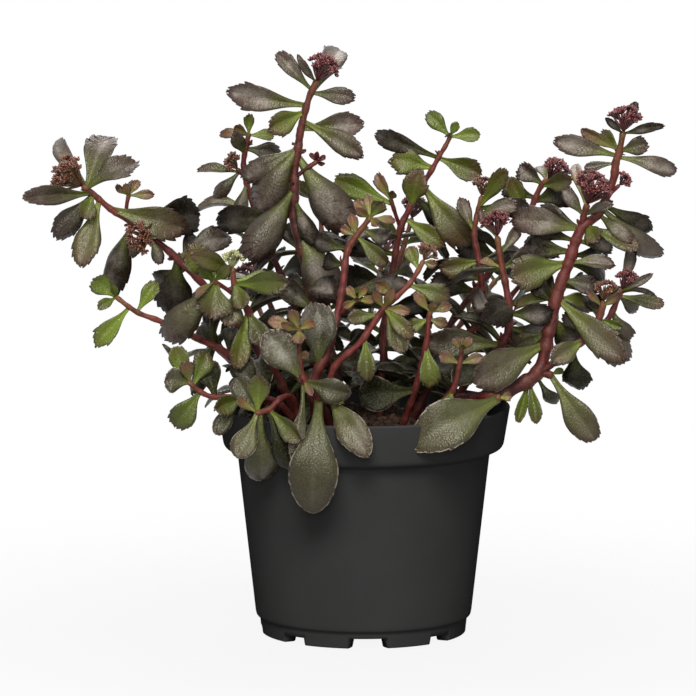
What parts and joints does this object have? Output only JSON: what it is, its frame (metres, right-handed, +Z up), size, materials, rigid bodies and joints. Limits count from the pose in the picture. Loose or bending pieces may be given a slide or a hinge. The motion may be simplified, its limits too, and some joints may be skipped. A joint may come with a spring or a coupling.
{
  "type": "potted sedum",
  "caption": "Potted stonecrop with bronze and green toothed leaves, red stems and dark red flower heads in a round black nursery pot.",
  "frame": {"origin": "centre of the pot's underside, on the surface that the pot stands on", "axes": "+Z up along the pot's axis, -Y the side that faces the viewer, +X to the viewer's right, where the tallest heads of the right shoot are"},
  "size_m": [0.2622, 0.17, 0.2419],
  "materials": {
    "pot_plastic": "satin",
    "potting_soil": "matte",
    "leaf_and_stem": "satin",
    "red_flowers": "matte",
    "cream_flowers": "matte"
  },
  "bodies": {
    "root": {"back_left_flower_head": "red_flowers", "back_left_tall_shoot": "leaf_and_stem", "back_right_flower_head": "red_flowers", "back_right_tall_shoot": "leaf_and_stem", "back_shoot_1": "leaf_and_stem", "back_shoot_1_flower_head": "red_flowers", "back_shoot_2": "leaf_and_stem", "back_shoot_3": "leaf_and_stem", "back_shoot_3_flower_head": "red_flowers", "back_shoot_4": "leaf_and_stem", "back_shoot_4_flower_head": "red_flowers", "back_shoot_5": "leaf_and_stem", "back_shoot_6": "leaf_and_stem", "back_shoot_6_flower_head": "red_flowers", "back_shoot_7": "leaf_and_stem", "back_shoot_8": "leaf_and_stem", "back_shoot_8_flower_head": "red_flowers", "cream_flower_head": "cream_flowers", "front_centre_shoot": "leaf_and_stem", "front_flower_head": "red_flowers", "front_left_shoot": "leaf_and_stem", "front_middle_shoot": "leaf_and_stem", "front_red_stemmed_shoot": "leaf_and_stem", "front_right_shoot": "leaf_and_stem", "front_rim_shoot": "leaf_and_stem", "green_topped_shoot": "leaf_and_stem", "left_flower_head": "red_flowers", "left_front_shoot": "leaf_and_stem", "left_green_shoot": "leaf_and_stem", "left_hanging_flower_head": "red_flowers", "left_reaching_shoot": "leaf_and_stem", "lower_left_shoot": "leaf_and_stem", "nursery_pot": "pot_plastic", "potting_soil": "potting_soil", "right_broad_flower_head": "red_flowers", "right_front_flower_head": "red_flowers", "right_front_shoot": "leaf_and_stem", "right_inner_flower_head": "red_flowers", "right_inner_shoot": "leaf_and_stem", "right_low_flower_head": "red_flowers", "right_main_shoot": "leaf_and_stem", "right_outer_flower_head": "red_flowers", "right_small_flower_head": "red_flowers", "right_tall_flower_head": "red_flowers", "tall_flower_head": "red_flowers", "tall_left_shoot": "leaf_and_stem"}
  },
  "joints": []
}
